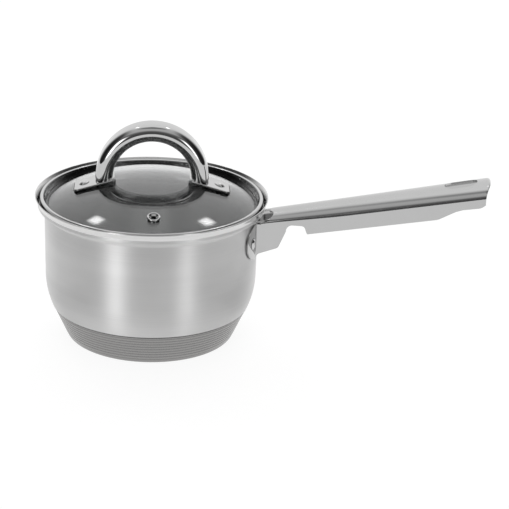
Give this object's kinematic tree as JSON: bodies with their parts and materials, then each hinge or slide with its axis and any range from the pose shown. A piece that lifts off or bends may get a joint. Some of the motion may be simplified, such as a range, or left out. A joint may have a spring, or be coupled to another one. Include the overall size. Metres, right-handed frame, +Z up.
{
  "type": "saucepan with glass lid",
  "caption": "Small stainless saucepan with a bellied wall, ribbed base capsule, a long riveted channel handle and a domed glass lid with an arch handle and a steam vent.",
  "frame": {"origin": "centre of the underside of the base, on the surface the pan stands on", "axes": "+Z up along the pan's axis, +X out along the long handle"},
  "size_m": [0.341, 0.176, 0.1677],
  "materials": {
    "brushed_body": "satin stainless with faint turned bands",
    "base_steel": "satin ribbed stainless",
    "aluminium_disc": "plain",
    "handle_steel": "polished stainless sheet",
    "band_steel": "polished stainless",
    "arch_steel": "mirror-polished stainless",
    "rivet_steel": "polished stainless",
    "lid_glass": "clear tempered glass",
    "silicone": "dark silicone"
  },
  "bodies": {
    "pan": {"pan_body": "brushed_body", "heat_spreader": "aluminium_disc", "base_capsule": "base_steel", "long_handle": "handle_steel", "handle_rivet_left": "rivet_steel", "handle_rivet_right": "rivet_steel"},
    "lid": {"lid_glass": "lid_glass", "lid_rim_band": "band_steel", "lid_handle_arch": "arch_steel", "lid_handle_foot_left": "arch_steel", "lid_handle_foot_right": "arch_steel", "lid_pad_left": "silicone", "lid_pad_right": "silicone", "lid_inner_pad_left": "silicone", "lid_inner_pad_right": "silicone", "lid_washer_left": "rivet_steel", "lid_washer_right": "rivet_steel", "lid_rivet_left": "rivet_steel", "lid_rivet_right": "rivet_steel", "vent_eyelet": "rivet_steel", "vent_gasket": "silicone", "vent_collar": "rivet_steel"}
  },
  "joints": [
    {"name": "lid_lift", "type": "slide", "parent": "pan", "child": "lid", "axis": [0, 0, 1], "range_m": [0, 0.06]}
  ]
}
